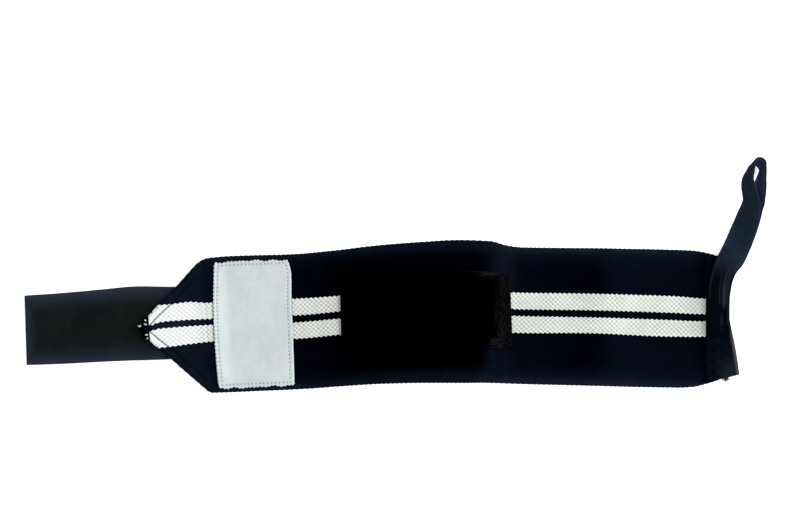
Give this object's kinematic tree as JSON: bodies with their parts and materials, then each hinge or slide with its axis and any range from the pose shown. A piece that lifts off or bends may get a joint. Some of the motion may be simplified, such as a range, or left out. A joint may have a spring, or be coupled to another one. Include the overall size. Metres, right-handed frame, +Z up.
{
  "type": "wrist wrap",
  "caption": "Flat striped elastic wrist wrap with a folded V end, a hook tab, a loop patch, a plain sewn label and a tape thumb loop.",
  "frame": {"origin": "centre of the laid wrap's plan box, on the surface that it lies on", "axes": "+X along the band towards the thumb loop, +Y across it towards the side where the thumb loop stands out, +Z up"},
  "size_m": [0.4118, 0.1296, 0.0194],
  "materials": {
    "navy_elastic": "ribbed woven elastic with white stripes",
    "hook_tape": "smooth woven tape back",
    "loop_tape": "matt loop pile",
    "satin_label": "satin weave",
    "navy_tape": "plain woven tape",
    "thumb_tape": "soft woven tape"
  },
  "bodies": {
    "root": {"wrap_band": "navy_elastic", "hook_tab": "hook_tape", "loop_patch": "loop_tape", "label": "satin_label", "end_binding": "navy_tape", "thumb_loop": "thumb_tape"}
  },
  "joints": []
}
